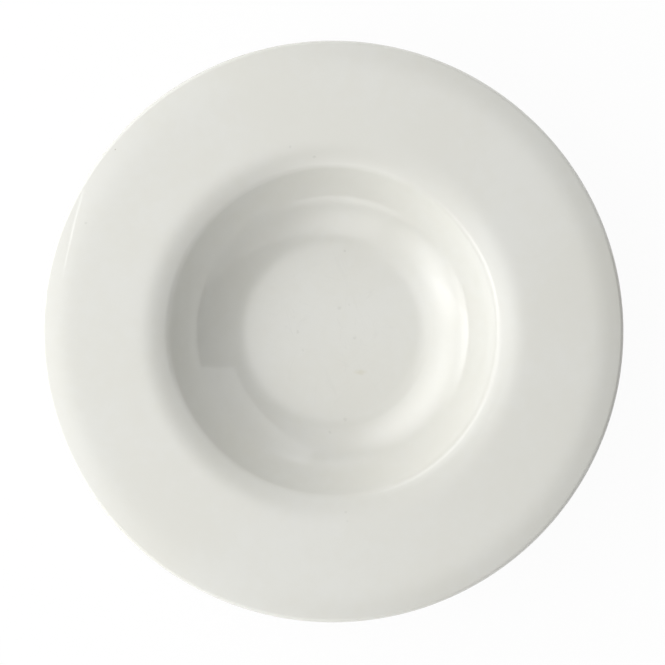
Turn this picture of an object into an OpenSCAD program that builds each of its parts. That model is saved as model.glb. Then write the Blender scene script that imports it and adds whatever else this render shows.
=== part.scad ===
// Wide-rimmed porcelain pasta bowl: one pressed body, glazed all over but for the dry foot it stands on.
// One outline serves every piece. It is a closed run of straight lines, rounded where two lines meet,
// drawn at the finished size. The clay lies one coat of glaze inside it.

/* [Bowl] */
// Diameter over the rim
bowl_d = 280; // [262:1:310]
// Height from the table to the crest of the rim
bowl_h = 46.5; // [41:0.5:55]

/* [Well] */
// Diameter of the mouth, where the rim turns down into the well
well_d = 158.5; // [144:0.5:172]
// Diameter of the flat floor
floor_d = 82; // [66:1:92]
// Thickness of the floor
floor_t = 5.7; // [4.2:0.1:7.5]
// Radius of the heel, between the floor and the wall
heel_r = 19; // [12:0.5:24]
// Steepness of the wall just above the heel, in degrees
heel_slope = 21; // [16:1:28]
// Radius of the wall's hollow curve
wall_r = 58; // [30:1:68]
// Steepness of the wall under the mouth, in degrees
wall_slope = 62; // [56:1:68]
// Thickness of the wall
wall_t = 5; // [3.8:0.1:6]

/* [Rim] */
// Radius of the edge round the mouth
mouth_r = 6.5; // [5:0.5:10]
// Steepness of the shoulder beside the mouth, in degrees
shoulder_slope = 26; // [20:1:32]
// Width of the shoulder, from the mouth to the rim's flat
shoulder_w = 7.8; // [6.4:0.1:10]
// Radius of the shoulder's roll on to the rim
shoulder_r = 32; // [20:1:40]
// Rise of the rim towards its edge, in degrees
rim_slope = 3; // [1:0.5:6]
// Thickness of the rim
rim_t = 4.6; // [3.6:0.1:5.6]
// Radius under the rim, where it leaves the outside of the wall
under_rim_r = 20; // [12:1:26]
// Width of the band that falls away along the outer edge
lip_w = 10.5; // [8:0.5:14]
// Fall of that band, in degrees
lip_fall = 7; // [4:0.5:10]
// Radius of the roll from the rim on to the band
lip_roll_r = 60; // [30:1:75]
// Rounding of the outermost edge
edge_r = 2.2; // [1.6:0.1:2.4]

/* [Foot] */
// Diameter of the foot ring's standing face, to its outer corner
foot_d = 96; // [88:1:102]
// Width of the ring at the table, between its two corners
foot_w = 4.4; // [3.6:0.1:6]
// Depth of the recess inside the ring
recess_h = 5; // [4.4:0.1:6]
// Draft of the ring's outside, from upright, in degrees
foot_draft = 12; // [6:1:18]
// Draft of the ring's inside, from upright, in degrees
recess_draft = 20; // [14:1:30]
// Rounding of the ring's two corners at the table
foot_r = 0.8; // [0.5:0.1:1.2]
// Radius where the ring runs into the outside of the wall
ankle_r = 3; // [2:0.5:5]
// Radius in the corner of the recess
recess_r = 2.5; // [1.5:0.5:3]

/* [Glaze] */
// Thickness of the glaze
glaze_t = 0.3; // [0.25:0.05:0.4]
// Height of the bare clay left round the foot
dry_h = 1.2; // [1:0.1:1.4]

/* [Hidden] */

// Degrees turned by each step along a rounded corner, and steps round the axis
arc_step = 4;
$fn = 180;

porcelain_colour = [0.90, 0.89, 0.86];
glaze_colour = [0.93, 0.93, 0.90];

// Headings of the lines. The outline is walked outwards over the top and back underneath,
// so the clay is always on its right.
level = 0;
down = -90;
back = -180;

rim_rise = tan(rim_slope);
crest_turn = rim_slope + lip_fall;
crest_lean = (rim_slope - lip_fall) / 2;
// The roll cuts the crest's corner by this much
crest_cut = lip_roll_r * (cos(crest_lean) / cos(crest_turn / 2) - 1);

crest = [bowl_d / 2 - lip_w, bowl_h + crest_cut];
shoulder_x = well_d / 2 + shoulder_w;
shoulder = [shoulder_x, crest.y - (crest.x - shoulder_x) * rim_rise];
mouth = [well_d / 2, shoulder.y - shoulder_w * tan(shoulder_slope)];
floor_z = recess_h + floor_t;
heel = [floor_d / 2 + heel_r * tan(heel_slope / 2), floor_z];
edge = [bowl_d / 2, crest.y];

// The point a distance d to the right of p, for someone walking along heading a
function right_of(p, a, d) = p + d * [sin(a), -cos(a)];

// Where the line through p along heading a crosses the line through q along heading b
function meet(p, a, q, b) =
    let (gap = q - p)
    p + [cos(a), sin(a)] * (gap.x * sin(b) - gap.y * cos(b)) / sin(b - a);

// The outline's lines, each a point and a heading. The standing face is drawn a coat of glaze
// too low, because it is the only one left without glaze.
lines = [
    [[0, floor_z], level],
    [heel, heel_slope],
    [mouth, wall_slope],
    [mouth, shoulder_slope],
    [crest, rim_slope],
    [crest, -lip_fall],
    [edge, down],
    [right_of(crest, -lip_fall, rim_t), back - lip_fall],
    [right_of(crest, rim_slope, rim_t), back + rim_slope],
    [right_of(mouth, wall_slope, wall_t), back + wall_slope],
    [right_of(heel, heel_slope, wall_t), back + heel_slope],
    [[foot_d / 2, 0], down - foot_draft],
    [[0, -glaze_t], back],
    [[foot_d / 2 - foot_w, 0], back + down + recess_draft],
    [[0, recess_h], back]
];

// The radius of the corner between each line and the next
radii = [
    heel_r, wall_r, mouth_r, shoulder_r, lip_roll_r, edge_r, edge_r, lip_roll_r,
    under_rim_r, wall_r + wall_t, ankle_r, foot_r + glaze_t, foot_r + glaze_t, recess_r
];

last = len(radii) - 1;
// After the ankle come the foot's two corners at the table and the one in the recess
corners_past_ankle = 3;
ankle = last - corners_past_ankle;

function turn(i) = lines[i + 1][1] - lines[i][1];
function corner(i) = meet(lines[i][0], lines[i][1], lines[i + 1][0], lines[i + 1][1]);

// Length of line that a corner's rounding takes up on each side
function reach(i) = i < 0 || i > last ? 0 : radii[i] * tan(abs(turn(i)) / 2);

// Length of line i between its corners
function span(i) =
    let (a = i == 0 ? lines[0][0] : corner(i - 1), b = i > last ? lines[i][0] : corner(i))
    norm(b - a);

// A rounding never takes more line than there is
function fit(i) = min(1, span(i) / (reach(i - 1) + reach(i)));

// Radius of corner i, positive where the outline turns left and negative where it turns right
function bend(i) = sign(turn(i)) * radii[i] * min(fit(i), fit(i + 1));

// Points round corner i, a given depth inside the finished surface
function round_corner(i, depth) =
    let (
        r = bend(i),
        a = lines[i][1],
        b = lines[i + 1][1],
        centre = meet(right_of(lines[i][0], a, -r), a, right_of(lines[i + 1][0], b, -r), b),
        steps = max(1, ceil(abs(b - a) / arc_step))
    )
    [for (k = [0:steps]) right_of(centre, a + (b - a) * k / steps, r + depth)];

function round_corners(from, to, depth) = [for (i = [from:to]) each round_corner(i, depth)];

// The point where line i, taken at a depth, stands dry_h over the table
function glaze_end(i, depth) =
    meet(right_of(lines[i][0], lines[i][1], depth), lines[i][1], [0, dry_h], level);

function floor_centre(depth) = [0, floor_z - depth];
function recess_centre(depth) = [0, recess_h + depth];

function coat_side(depth) = concat(
    [floor_centre(depth)],
    round_corners(0, ankle, depth),
    [glaze_end(ankle + 1, depth)]
);

function base_side(depth) = concat(
    [glaze_end(last, depth)],
    round_corner(last, depth),
    [recess_centre(depth)]
);

function reversed(points) = [for (i = [len(points) - 1:-1:0]) points[i]];

// A skin of glaze from the finished surface down to the clay
module glaze_between(surface, clay) {
    color(glaze_colour) rotate_extrude() polygon(concat(surface, reversed(clay)));
}

// Rim, well and foot ring, pressed and fired in one piece
module porcelain_body() {
    color(porcelain_colour) rotate_extrude() polygon(concat(
        [floor_centre(glaze_t)],
        round_corners(0, last, glaze_t),
        [recess_centre(glaze_t)]
    ));
}

// Glaze over the inside, the rim and the outside, down to the dry foot
module glaze_coat() {
    glaze_between(coat_side(0), coat_side(glaze_t));
}

// Glaze in the recess under the bowl, cut off from the rest by the dry foot
module base_glaze() {
    glaze_between(base_side(0), base_side(glaze_t));
}

porcelain_body();
glaze_coat();
base_glaze();
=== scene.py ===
import math

import bmesh
import bpy
from mathutils import Matrix, Vector


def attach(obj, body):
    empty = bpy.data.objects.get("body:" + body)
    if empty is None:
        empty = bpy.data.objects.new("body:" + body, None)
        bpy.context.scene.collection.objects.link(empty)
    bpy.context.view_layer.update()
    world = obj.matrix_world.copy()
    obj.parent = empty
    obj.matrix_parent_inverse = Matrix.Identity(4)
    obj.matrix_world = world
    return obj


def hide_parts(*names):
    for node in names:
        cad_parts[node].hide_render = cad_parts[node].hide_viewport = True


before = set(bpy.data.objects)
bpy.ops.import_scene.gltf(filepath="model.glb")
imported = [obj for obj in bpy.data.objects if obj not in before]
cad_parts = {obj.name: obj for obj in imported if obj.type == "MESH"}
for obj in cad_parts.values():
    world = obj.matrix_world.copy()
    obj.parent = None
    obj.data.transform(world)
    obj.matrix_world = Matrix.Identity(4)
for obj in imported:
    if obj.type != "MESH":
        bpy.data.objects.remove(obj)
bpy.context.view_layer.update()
print("packed bowl loaded")

mm = 0.001                         # lengths are in metres


def deselectAll():
    if bpy.context.object and bpy.context.object.mode != "OBJECT":
        bpy.ops.object.mode_set(mode="OBJECT")
    bpy.ops.object.select_all(action="DESELECT")


def makeActive(piece):
    deselectAll()
    piece.select_set(True)
    bpy.context.view_layer.objects.active = piece


def selectWhere(piece, test):  # vertices by place, with the piece in edit mode
    bpy.ops.mesh.select_mode(type="VERT")
    bpy.ops.mesh.select_all(action="DESELECT")
    work = bmesh.from_edit_mesh(piece.data)
    for vertex in work.verts:
        vertex.select = test(vertex)
    work.select_flush_mode()
    bmesh.update_edit_mesh(piece.data)


def selectEdges(piece, test):
    bpy.ops.mesh.select_mode(type="EDGE")
    bpy.ops.mesh.select_all(action="DESELECT")
    work = bmesh.from_edit_mesh(piece.data)
    for edge in work.edges:
        edge.select = test(edge)
    bmesh.update_edit_mesh(piece.data)


def openEnds(piece):  # places of the vertices that end a wire
    work = bmesh.from_edit_mesh(piece.data)
    return [vertex.co.copy() for vertex in work.verts if len(vertex.link_edges) == 1]


def applyModifiers(piece):
    makeActive(piece)
    for modifier in list(piece.modifiers):
        bpy.ops.object.modifier_apply(modifier=modifier.name)


# The glaze is turned again, much finer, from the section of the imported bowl
turning = {
    "glueDistance": 0.002 * mm,
    "seamReach": 0.001 * mm,       # how near the seam's plane a vertex has to lie
    "longestStep": 3 * mm,         # straight runs are cut up to this, so the gloss stays even along them
    "halvings": 4,
    "smoothAngle": 40,             # degrees
}

unevenness = {                     # the slight warp that drying and firing leave
    "height": 0.1 * mm,
    "across": 75 * mm,
    "detail": 1,
}


def turnPiece(node, name, quarterTurns):
    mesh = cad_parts[node].data.copy()
    piece = bpy.data.objects.new(name, mesh)
    bpy.context.scene.collection.objects.link(piece)
    makeActive(piece)
    bpy.ops.object.mode_set(mode="EDIT")
    bpy.ops.mesh.select_all(action="SELECT")
    bpy.ops.mesh.remove_doubles(threshold=turning["glueDistance"])
    # only the half section in the XZ plane is kept
    near = turning["seamReach"]
    selectWhere(piece, lambda vertex: abs(vertex.co.y) > near or vertex.co.x < -near)
    bpy.ops.mesh.delete(type="VERT")
    # its open ends are drawn in to the axis
    for end in openEnds(piece):
        selectWhere(piece, lambda vertex: (vertex.co - end).length < near)
        bpy.ops.mesh.extrude_vertices_move(TRANSFORM_OT_translate={"value": (-end.x, 0, 0)})
    longest = turning["longestStep"]
    for halving in range(turning["halvings"]):
        selectEdges(piece, lambda edge: edge.calc_length() > longest)
        bpy.ops.mesh.subdivide(number_cuts=1)
    # a quarter is spun and mirrored twice
    bpy.ops.mesh.select_mode(type="VERT")
    bpy.ops.mesh.select_all(action="SELECT")
    bpy.ops.mesh.spin(steps=quarterTurns, angle=math.tau / 4, center=(0, 0, 0), axis=(0, 0, 1))
    bpy.ops.object.mode_set(mode="OBJECT")
    mirror = piece.modifiers.new("other_quarters", "MIRROR")
    mirror.use_axis = (True, True, False)
    mirror.merge_threshold = turning["glueDistance"]
    applyModifiers(piece)
    bpy.ops.object.mode_set(mode="EDIT")
    bpy.ops.mesh.select_all(action="SELECT")
    bpy.ops.mesh.remove_doubles(threshold=turning["glueDistance"])
    bpy.ops.mesh.normals_make_consistent(inside=False)
    bpy.ops.object.mode_set(mode="OBJECT")
    warpPiece(piece)
    bpy.ops.object.shade_smooth_by_angle(angle=math.radians(turning["smoothAngle"]))
    return piece


def warpPiece(piece):
    clouds = bpy.data.textures.new(piece.name + "_warp", "CLOUDS")
    clouds.noise_scale = unevenness["across"]
    clouds.noise_depth = unevenness["detail"]
    warp = piece.modifiers.new("warp", "DISPLACE")
    warp.texture = clouds
    warp.texture_coords = "LOCAL"
    warp.direction = "Z"
    warp.strength = unevenness["height"]
    applyModifiers(piece)


glazeCoat = {"node": "glaze_coat", "name": "glaze_over_bowl", "quarterTurns": 60}
bowlGlaze = turnPiece(glazeCoat["node"], glazeCoat["name"], glazeCoat["quarterTurns"])
print("glaze turned:", len(bowlGlaze.data.polygons), "faces")

recessGlaze = {"node": "base_glaze", "name": "glaze_under_foot", "quarterTurns": 48}
footGlaze = turnPiece(recessGlaze["node"], recessGlaze["name"], recessGlaze["quarterTurns"])
print("glaze in the recess turned:", len(footGlaze.data.polygons), "faces")


class Value:  # a node's socket, so that a sum written in Python adds the Math nodes
    def __init__(self, finish, socket):
        self.finish = finish
        self.socket = socket

    def sum(self, operation, first, second=None):
        sockets = {0: first} if second is None else {0: first, 1: second}
        return self.finish.node("ShaderNodeMath", {"operation": operation}, sockets)

    def __add__(self, other):
        return self.sum("ADD", self, other)

    def __sub__(self, other):
        return self.sum("SUBTRACT", self, other)

    def __rsub__(self, other):
        return self.sum("SUBTRACT", other, self)

    def __mul__(self, other):
        return self.sum("MULTIPLY", self, other)

    def __abs__(self):
        return self.sum("ABSOLUTE", self)

    __radd__ = __add__
    __rmul__ = __mul__


# Where a Mix node keeps its colour sockets, which share their names with its other kinds
colourMix = {"factor": 0, "first": 6, "second": 7, "result": 2}


class Finish:  # the nodes of one material or lamp, and the one way they are made
    def __init__(self, holder):
        self.holder = holder
        holder.use_nodes = True
        self.tree = holder.node_tree
        self.tree.nodes.clear()

    def node(self, kind, settings=None, sockets=None, output=0):
        made = self.tree.nodes.new(kind)
        # settings come first, because some of them change the sockets
        for name, value in (settings or {}).items():
            setattr(made, name, value)
        for name, value in (sockets or {}).items():
            if isinstance(value, Value):
                self.tree.links.new(value.socket, made.inputs[name])
            else:
                made.inputs[name].default_value = value
        return Value(self, made.outputs[output]) if made.outputs else None

    def mixColours(self, factor, first, second):
        sockets = {colourMix["factor"]: factor, colourMix["first"]: first, colourMix["second"]: second}
        return self.node("ShaderNodeMix", {"data_type": "RGBA"}, sockets, colourMix["result"])

    def place(self):
        return self.node("ShaderNodeTexCoord", output="Object")

    def moved(self, place, turn=0, stretch=(1, 1, 1), shift=(0, 0, 0)):
        return self.node("ShaderNodeMapping", {"vector_type": "TEXTURE"}, {
            "Vector": place,
            "Rotation": (0, 0, math.radians(turn)),
            "Scale": stretch,
            "Location": shift,
        })

    def noise(self, place, across, detail=2, output=0):
        sockets = {"Vector": place, "Scale": 1 / across, "Detail": detail}
        return self.node("ShaderNodeTexNoise", None, sockets, output)

    def fade(self, value, start, end, low=0, high=1):  # low up to start, high from end on
        return self.node("ShaderNodeMapRange", {"interpolation_type": "SMOOTHSTEP"}, {
            "Value": value,
            "From Min": start,
            "From Max": end,
            "To Min": low,
            "To Max": high,
        })

    def distance(self, place, point):
        return self.node("ShaderNodeVectorMath", {"operation": "DISTANCE"}, {0: place, 1: point}, "Value")

    def minus(self, place, step):
        return self.node("ShaderNodeVectorMath", {"operation": "SUBTRACT"}, {0: place, 1: step})

    def bump(self, height, depth):
        return self.node("ShaderNodeBump", None, {"Height": height, "Distance": depth, "Strength": 1})

    def surface(self, shader, output="ShaderNodeOutputMaterial"):
        self.node(output, None, {"Surface": shader})
        return self.holder


def dress(piece, material):
    piece.data.materials.clear()
    piece.data.materials.append(material)


glazeLook = {
    "porcelain": (0.748, 0.748, 0.706, 1),
    "creamier": (0.732, 0.728, 0.675, 1),
    "cloudAcross": 60 * mm,
    "cloudShare": 0.7,             # the rest of the colour's unevenness is mottle
    "mottleAcross": 6 * mm,
    "creamFrom": 0.35,             # where in the noise the creamier colour starts and is full
    "creamFull": 0.65,
    "gloss": 0.02,                 # roughness where the glaze is untouched
    "handled": 0.015,              # roughness that handling and washing add in patches
    "handledAcross": 35 * mm,
    "handledFrom": 0.45,
    "handledFull": 0.7,
    "worn": 0.10,                  # roughness that cutlery adds along a mark
    "ior": 1.6,
    "peelAcross": 5 * mm,          # the glaze's very slight orange peel
    "peelDepth": 0.004 * mm,
}

ironSpecks = {                     # pinhole specks that fired out of the clay
    "apart": 15 * mm,
    "radius": 0.42 * mm,
    "core": 0.5,                   # share of the radius that is at full strength
    "share": 0.05,                 # share of the places that hold one
    "colour": (0.30, 0.26, 0.20, 1),
    "strength": 0.55,
}

# marks on this bowl: place in mm, radius in mm, strength
marks = (
    ((6.1, 39.7, 10.7), 1.1, 0.30),
    ((3.2, 11.6, 10.7), 1.3, 0.22),
    ((8.1, 13.2, 10.7), 0.8, 0.16),
    ((-17.1, -0.2, 10.7), 1.2, 0.24),
    ((-14.6, -9.1, 10.7), 1.0, 0.18),
    ((11.0, -3.2, 10.7), 1.1, 0.20),
    ((6.1, -43.2, 11.0), 1.4, 0.22),
    ((-1.3, -49.5, 12.6), 1.2, 0.24),
    ((-118.6, 52.2, 46.3), 0.9, 0.30),
    ((-20.5, 88.8, 44.5), 0.9, 0.28),
    ((-8.7, 84.0, 43.2), 1.1, 0.30),
    ((6.4, -86.9, 44.0), 0.9, 0.22),
    ((7.1, -91.2, 44.7), 0.8, 0.16),
)
markLook = {
    "colour": (0.475, 0.48, 0.43, 1),
    "core": 0.2,                   # share of the radius that is at full strength
    "raggedAcross": 1.6 * mm,
    "raggedBy": 0.8 * mm,          # how far the outline strays to either side
}

sauceStain = {                     # a faint yellowish smear on the floor of the well
    "place": (13.6 * mm, -20.0 * mm, 10.7 * mm),
    "stretch": (2.4, 1, 1),
    "radius": 1.9 * mm,
    "roughness": 0.3,
    "strength": 0.34,
    "colour": (0.59, 0.56, 0.42, 1),
}

cutleryMarks = {
    "middle": (0, 0, 10.7 * mm),
    "reach": 47 * mm,              # they stop where the wall of the well begins
    "full": 0.6,                   # share of the reach over which they stay at full strength
    "directions": (24, 71, 128, 163),  # degrees
    "apart": 5.5 * mm,
    "longer": 16,                  # length against spacing
    "thin": 0.011,
    "patchAcross": 14 * mm,        # they come in patches
    "patchFrom": 0.5,
    "patchFull": 0.6,
    "colour": (0.52, 0.52, 0.49, 1),
    "strength": 0.07,
}


def makeGlaze():
    glaze = Finish(bpy.data.materials.new("clear_glaze_on_porcelain"))
    place = glaze.place()
    cloud = glaze.noise(place, glazeLook["cloudAcross"], detail=3)
    mottle = glaze.noise(place, glazeLook["mottleAcross"], detail=4)
    share = glazeLook["cloudShare"]
    creamy = glaze.fade(
        cloud * share + mottle * (1 - share), glazeLook["creamFrom"], glazeLook["creamFull"])
    colour = glaze.mixColours(creamy, glazeLook["porcelain"], glazeLook["creamier"])

    # cutlery marks: contour lines of a stretched noise, in the bottom of the well only
    scored = 0
    for turn in cutleryMarks["directions"]:
        shift = turn * mm              # so that no two directions share a noise
        along = glaze.moved(place, turn, (1, cutleryMarks["longer"], 1), (shift, 0, 0))
        contour = abs(glaze.noise(along, cutleryMarks["apart"], detail=1) - 0.5)
        line = glaze.fade(contour, 0, cutleryMarks["thin"], low=1, high=0)
        elsewhere = glaze.moved(place, shift=(0, shift, 0))
        patch = glaze.fade(
            glaze.noise(elsewhere, cutleryMarks["patchAcross"], detail=1),
            cutleryMarks["patchFrom"], cutleryMarks["patchFull"])
        scored = line * patch + scored
    fromMiddle = glaze.distance(place, cutleryMarks["middle"])
    reach = cutleryMarks["reach"]
    scored = scored * glaze.fade(fromMiddle, reach * cutleryMarks["full"], reach, low=1, high=0)
    colour = glaze.mixColours(scored * cutleryMarks["strength"], colour, cutleryMarks["colour"])

    # each iron speck sits in a cell of its own, and few of the cells have one
    cells = {"Vector": place, "Scale": 1 / ironSpecks["apart"]}
    fromSpeck = glaze.node("ShaderNodeTexVoronoi", None, cells, "Distance")
    pick = glaze.node("ShaderNodeTexVoronoi", None, cells, "Color")
    radius = ironSpecks["radius"] / ironSpecks["apart"]
    chance = glaze.node("ShaderNodeSeparateColor", None, {"Color": pick})
    chosen = glaze.node("ShaderNodeMath", {"operation": "LESS_THAN"}, {0: chance, 1: ironSpecks["share"]})
    speck = glaze.fade(fromSpeck, radius * ironSpecks["core"], radius, low=1, high=0) * chosen
    colour = glaze.mixColours(speck * ironSpecks["strength"], colour, ironSpecks["colour"])

    # marks and stain have ragged outlines
    stray = markLook["raggedBy"]
    jitter = glaze.node("ShaderNodeVectorMath", {"operation": "MULTIPLY_ADD"}, {
        0: glaze.noise(place, markLook["raggedAcross"], output="Color"),
        1: (stray * 2,) * 3,
        2: place,
    })
    ragged = glaze.minus(jitter, (stray,) * 3)
    marked = 0
    for point, radius, strength in marks:
        gap = glaze.distance(ragged, tuple(number * mm for number in point))
        core = radius * markLook["core"]
        marked = glaze.fade(gap, core * mm, radius * mm, low=strength, high=0) + marked
    colour = glaze.mixColours(marked, colour, markLook["colour"])
    centred = glaze.minus(ragged, sauceStain["place"])
    gap = glaze.distance(glaze.moved(centred, stretch=sauceStain["stretch"]), (0, 0, 0))
    stain = glaze.fade(gap, 0, sauceStain["radius"], low=sauceStain["strength"], high=0)
    colour = glaze.mixColours(stain, colour, sauceStain["colour"])

    handled = glaze.fade(
        glaze.noise(place, glazeLook["handledAcross"], detail=3),
        glazeLook["handledFrom"], glazeLook["handledFull"])
    wear = handled * glazeLook["handled"] + scored * glazeLook["worn"] + stain * sauceStain["roughness"]
    peel = glaze.noise(place, glazeLook["peelAcross"], detail=1)
    shader = glaze.node("ShaderNodeBsdfPrincipled", None, {
        "Base Color": colour,
        "Roughness": wear + glazeLook["gloss"],
        "IOR": glazeLook["ior"],
        "Normal": glaze.bump(peel, glazeLook["peelDepth"]),
    })
    return glaze.surface(shader)


bareLook = {
    "clay": (0.72, 0.71, 0.66, 1),
    "darkerClay": (0.62, 0.605, 0.55, 1),
    "grainAcross": 0.35 * mm,
    "grainDepth": 0.03 * mm,
    "grainShare": 0.5,             # the rest of the colour's unevenness is patches
    "patchesAcross": 7 * mm,
    "darkerFrom": 0.4,             # where in the noise the darker clay starts and is full
    "darkerFull": 0.62,
    "roughness": 0.68,
    "rougherPatches": 0.12,
}

groundFace = {                     # the standing face, ground flat in rings round the axis
    "height": 0.12 * mm,
    "solid": 0.3,                  # share of that height that is all ground
    "ringsApart": 0.45 * mm,
    "ringsStray": 1.2,             # how unevenly they run
    "ringDepth": 0.5,              # against the grain's
    "smoother": 0.12,
    "smudge": (0.36, 0.35, 0.33, 1),   # grey from the tables it has slid over
    "smudgesAcross": 5 * mm,
    "smudgeFrom": 0.42,
    "smudgeFull": 0.68,
    "inSmudges": 0.45,             # strength of the grey: in the smudges, on the rings, all over
    "onRings": 0.15,
    "allOver": 0.08,
}
waveUnit = math.tau / 20           # metres from ring to ring where a Wave node's Scale is 1


def makeBareClay():
    clay = Finish(bpy.data.materials.new("bare_fired_porcelain"))
    place = clay.place()
    grain = clay.noise(place, bareLook["grainAcross"], detail=4)
    patches = clay.noise(place, bareLook["patchesAcross"], detail=3)
    share = bareLook["grainShare"]
    darker = clay.fade(
        grain * share + patches * (1 - share), bareLook["darkerFrom"], bareLook["darkerFull"])
    colour = clay.mixColours(darker, bareLook["clay"], bareLook["darkerClay"])

    height = clay.node("ShaderNodeSeparateXYZ", None, {"Vector": place}, "Z")
    top = groundFace["height"]
    ground = clay.fade(height, top * groundFace["solid"], top, low=1, high=0)
    rings = clay.node("ShaderNodeTexWave", {"wave_type": "RINGS", "rings_direction": "Z"}, {
        "Vector": place,
        "Scale": waveUnit / groundFace["ringsApart"],
        "Distortion": groundFace["ringsStray"],
    })
    smudges = clay.fade(
        clay.noise(place, groundFace["smudgesAcross"], detail=4),
        groundFace["smudgeFrom"], groundFace["smudgeFull"])
    grey = smudges * groundFace["inSmudges"] + rings * groundFace["onRings"] + groundFace["allOver"]
    colour = clay.mixColours(ground * grey, colour, groundFace["smudge"])
    rough = patches * bareLook["rougherPatches"] - ground * groundFace["smoother"] + bareLook["roughness"]
    relief = grain + rings * ground * groundFace["ringDepth"]
    shader = clay.node("ShaderNodeBsdfPrincipled", None, {
        "Base Color": colour,
        "Roughness": rough,
        "Normal": clay.bump(relief, bareLook["grainDepth"]),
    })
    return clay.surface(shader)


glazeMaterial = makeGlaze()
dress(bowlGlaze, glazeMaterial)
dress(footGlaze, glazeMaterial)
dress(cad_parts["porcelain_body"], makeBareClay())
print("finishes made")

for piece, node in ((bowlGlaze, "glaze_coat"), (footGlaze, "base_glaze")):
    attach(piece, "root")
    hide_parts(node)


studio = {
    "floorSize": 12,
    "floorColour": (0.95, 0.95, 0.95, 1),
    "white": (1, 1, 1, 1),
    # how much of the real shade shows on the white floor: under the bowl, beside it, and none far off
    "shadeUnder": 0.5,
    "shadeBeside": 0.05,
    "underReach": 80 * mm,
    "besideReach": 135 * mm,
    "nearReach": 300 * mm,
    "farReach": 1200 * mm,
}


def whereSeen(finish):  # 1 for the rays that the camera, a reflection or glass sends
    camera, glossy, through = (
        finish.node("ShaderNodeLightPath", output=name)
        for name in ("Is Camera Ray", "Is Glossy Ray", "Is Transmission Ray"))
    seen = finish.node("ShaderNodeMath", {"operation": "MAXIMUM"}, {0: camera, 1: glossy})
    return finish.node("ShaderNodeMath", {"operation": "MAXIMUM"}, {0: seen, 1: through})


def makeFloor():
    paper = Finish(bpy.data.materials.new("pale_floor"))
    matt = paper.node("ShaderNodeBsdfDiffuse", None, {"Color": studio["floorColour"]})
    white = paper.node("ShaderNodeEmission", None, {"Color": studio["white"], "Strength": 1})
    fromMiddle = paper.distance(paper.place(), (0, 0, 0))
    shade = paper.fade(
        fromMiddle, studio["underReach"], studio["besideReach"],
        low=studio["shadeUnder"], high=studio["shadeBeside"])
    shade = shade * paper.fade(fromMiddle, studio["nearReach"], studio["farReach"], low=1, high=0)
    bright = whereSeen(paper) * (1 - shade)
    mixed = paper.node("ShaderNodeMixShader", None, {0: bright, 1: matt, 2: white})
    return paper.surface(mixed)


deselectAll()
bpy.ops.mesh.primitive_plane_add(size=studio["floorSize"], location=(0, 0, 0))
floor = bpy.context.object
floor.name = "floor"
dress(floor, makeFloor())

world = bpy.data.worlds.new("studio_air")
bpy.context.scene.world = world
world.use_nodes = True
world.node_tree.nodes["Background"].inputs["Color"].default_value = studio["white"]


# Black curtains hang round the set and over it, so that little but the lamps lights the bowl.
# They end short of the floor, and the camera looks in through them.
curtains = {
    "radius": 1.65,
    "top": 1.9,
    "hem": 0.13,
    "sides": 64,
    "shoulder": 0.15,
    "shoulderSteps": 4,
    "colour": (0, 0, 0, 1),
}


def makeCurtainCloth():
    cloth = Finish(bpy.data.materials.new("black_cloth"))
    return cloth.surface(cloth.node("ShaderNodeBsdfDiffuse", None, {"Color": curtains["colour"]}))


deselectAll()
bpy.ops.mesh.primitive_cylinder_add(
    vertices=curtains["sides"],
    radius=curtains["radius"],
    depth=curtains["top"] - curtains["hem"],
    location=(0, 0, (curtains["top"] + curtains["hem"]) / 2),
)
blackCurtains = bpy.context.object
blackCurtains.name = "black_curtains"
bpy.ops.object.transform_apply(location=True)
bpy.ops.object.mode_set(mode="EDIT")
halfWayUp = curtains["top"] / 2
selectWhere(blackCurtains, lambda vertex: vertex.co.z < halfWayUp)
bpy.ops.mesh.delete(type="ONLY_FACE")
selectEdges(blackCurtains, lambda edge: min(corner.co.z for corner in edge.verts) > halfWayUp)
bpy.ops.mesh.bevel(offset=curtains["shoulder"], segments=curtains["shoulderSteps"])
bpy.ops.object.mode_set(mode="OBJECT")
blackCurtains.visible_camera = False
dress(blackCurtains, makeCurtainCloth())
print("floor and curtains set up")

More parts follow.
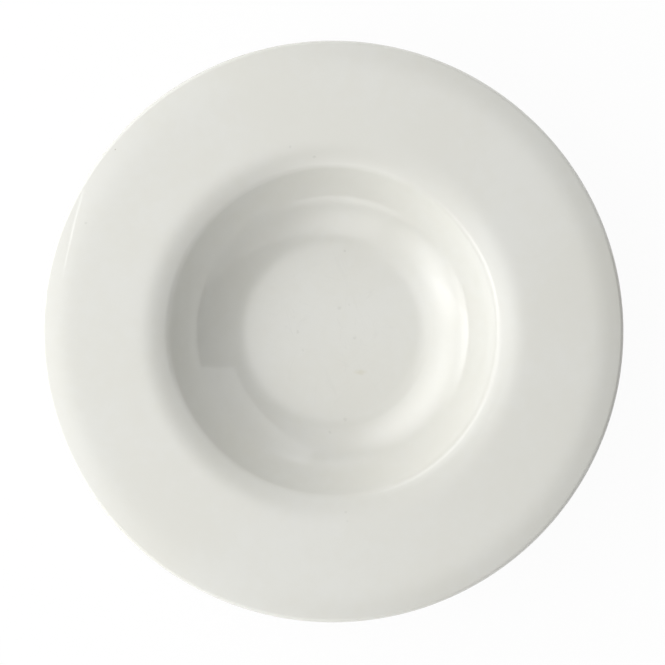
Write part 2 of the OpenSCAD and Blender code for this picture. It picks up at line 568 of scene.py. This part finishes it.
# A lamp hangs at its place and aims at the well, or at a point of its own, and rolls about its beam.
# A glow fades out within its spread, sideways and upwards, as light through a thick diffuser does.
# A panel without one is even, so its edges show crisp in the glaze. A brightness of 1 is white,
# and rolls are in degrees.
lamps = {
    "window": {"place": (-0.90, 0, 0.5), "spread": (0.9, 0.5), "brightness": 1.1},
    "window_low": {"place": (-0.95, 0, 0.2), "spread": (0.8, 0.2), "brightness": 2.3},
    "window_far_end": {"place": (-0.69, 0.6, 0.65), "spread": (0.85, 0.6), "brightness": 3.1},
    "window_near_end": {"place": (-0.78, -0.45, 0.5), "spread": (0.6, 0.45), "brightness": 2.4},
    "window_upper": {"place": (-0.89, -0.16, 1.1), "spread": (1.0, 0.9), "brightness": 1.7},
    "far_side": {"place": (0, 0.9, 0.8), "spread": (0.9, 0.75), "brightness": 0.6},
    "far_low": {"place": (0, 0.95, 0.2), "spread": (0.8, 0.2), "brightness": 1.0},
    "near_low": {"place": (-0.1, -0.95, 0.2), "spread": (0.8, 0.2), "brightness": 1.5},
    "near_side": {"place": (-0.16, -0.9, 0.8), "spread": (0.8, 0.75), "brightness": 1.5},
    "over_middle": {"place": (-0.2, 0, 1.3), "spread": (1.0, 1.0), "brightness": 1.15},
    # half a glow, cut off along the window's leaning edge
    "window_edge": {
        "place": (-0.7, 0.215, 0.39), "aim": (0, 0.215, 0.39), "roll": -35,
        "size": (0.8, 1.4), "middle": (0.4, 0.15), "spread": (0.8, 0.8), "brightness": 1.0,
    },
    "far_board": {
        "place": (0.44, 0.64, 0.3), "aim": (0.007, 0.39, 0.3), "roll": -6,
        "size": (1.0, 0.7), "brightness": 0.8,
    },
    "near_board": {
        "place": (0.55, -0.5, 0.21), "aim": (0.55, 0, 0.21), "roll": -10,
        "size": (1.6, 0.6), "brightness": 0.4,
    },
    "tube": {
        "place": (-0.456, 0.185, 1.2), "aim": (-0.456, 0.185, 0), "roll": 22,
        "size": (0.015, 0.21), "brightness": 2.2,
    },
}
well = (0, 0, 30 * mm)


def softenLamp(lamp, middle, spread):
    diffuser = Finish(lamp)
    place = diffuser.moved(diffuser.place(), stretch=(*spread, 1), shift=(*middle, 0))
    strength = diffuser.fade(diffuser.distance(place, (0, 0, 0)), 0, 1, low=1, high=0)
    shine = diffuser.node("ShaderNodeEmission", None, {"Strength": strength})
    diffuser.surface(shine, "ShaderNodeOutputLight")


def hangLamp(name, lamp):
    bpy.ops.object.light_add(type="AREA", location=lamp["place"])
    light = bpy.context.object
    light.name = name
    light.visible_camera = False
    spread = lamp.get("spread")
    width, height = lamp.get("size") or (spread[0] * 2, spread[1] * 2)
    light.data.shape = "RECTANGLE"
    light.data.size = width
    light.data.size_y = height
    light.data.energy = math.pi * width * height * lamp["brightness"]    # watts for that brightness
    beam = Vector(lamp.get("aim", well)) - Vector(lamp["place"])
    roll = Matrix.Rotation(math.radians(lamp.get("roll", 0)), 3, "Z")
    light.rotation_euler = (beam.to_track_quat("-Z", "Y").to_matrix() @ roll).to_euler()
    if spread:
        softenLamp(light.data, lamp.get("middle", (0, 0)), spread)


for name, lamp in lamps.items():
    hangLamp(name, lamp)
print("lamps hung:", len(lamps))


camera = {
    "distance": 1.5,               # from the widest ring of the rim
    "ringHeight": 44 * mm,
    "ringRadius": 140 * mm,
    "ringPixels": 291,             # its radius in the picture
    "ringCentre": (332.6, 331.5),
    "imageSize": 665,
    "sensor": 36,
    "farthest": 100,
}

pixel = camera["ringRadius"] / camera["ringPixels"]
across = pixel * camera["imageSize"]
middle = camera["imageSize"] / 2
bpy.ops.object.camera_add(
    location=(
        (middle - camera["ringCentre"][0]) * pixel,
        (camera["ringCentre"][1] - middle) * pixel,
        camera["ringHeight"] + camera["distance"],
    ),
    rotation=(0, 0, 0),
)
view = bpy.context.object
view.data.sensor_width = camera["sensor"]
view.data.lens = camera["sensor"] * camera["distance"] / across
view.data.clip_end = camera["farthest"]
bpy.context.scene.camera = view
bpy.context.scene.view_settings.view_transform = "Standard"
print("camera set")
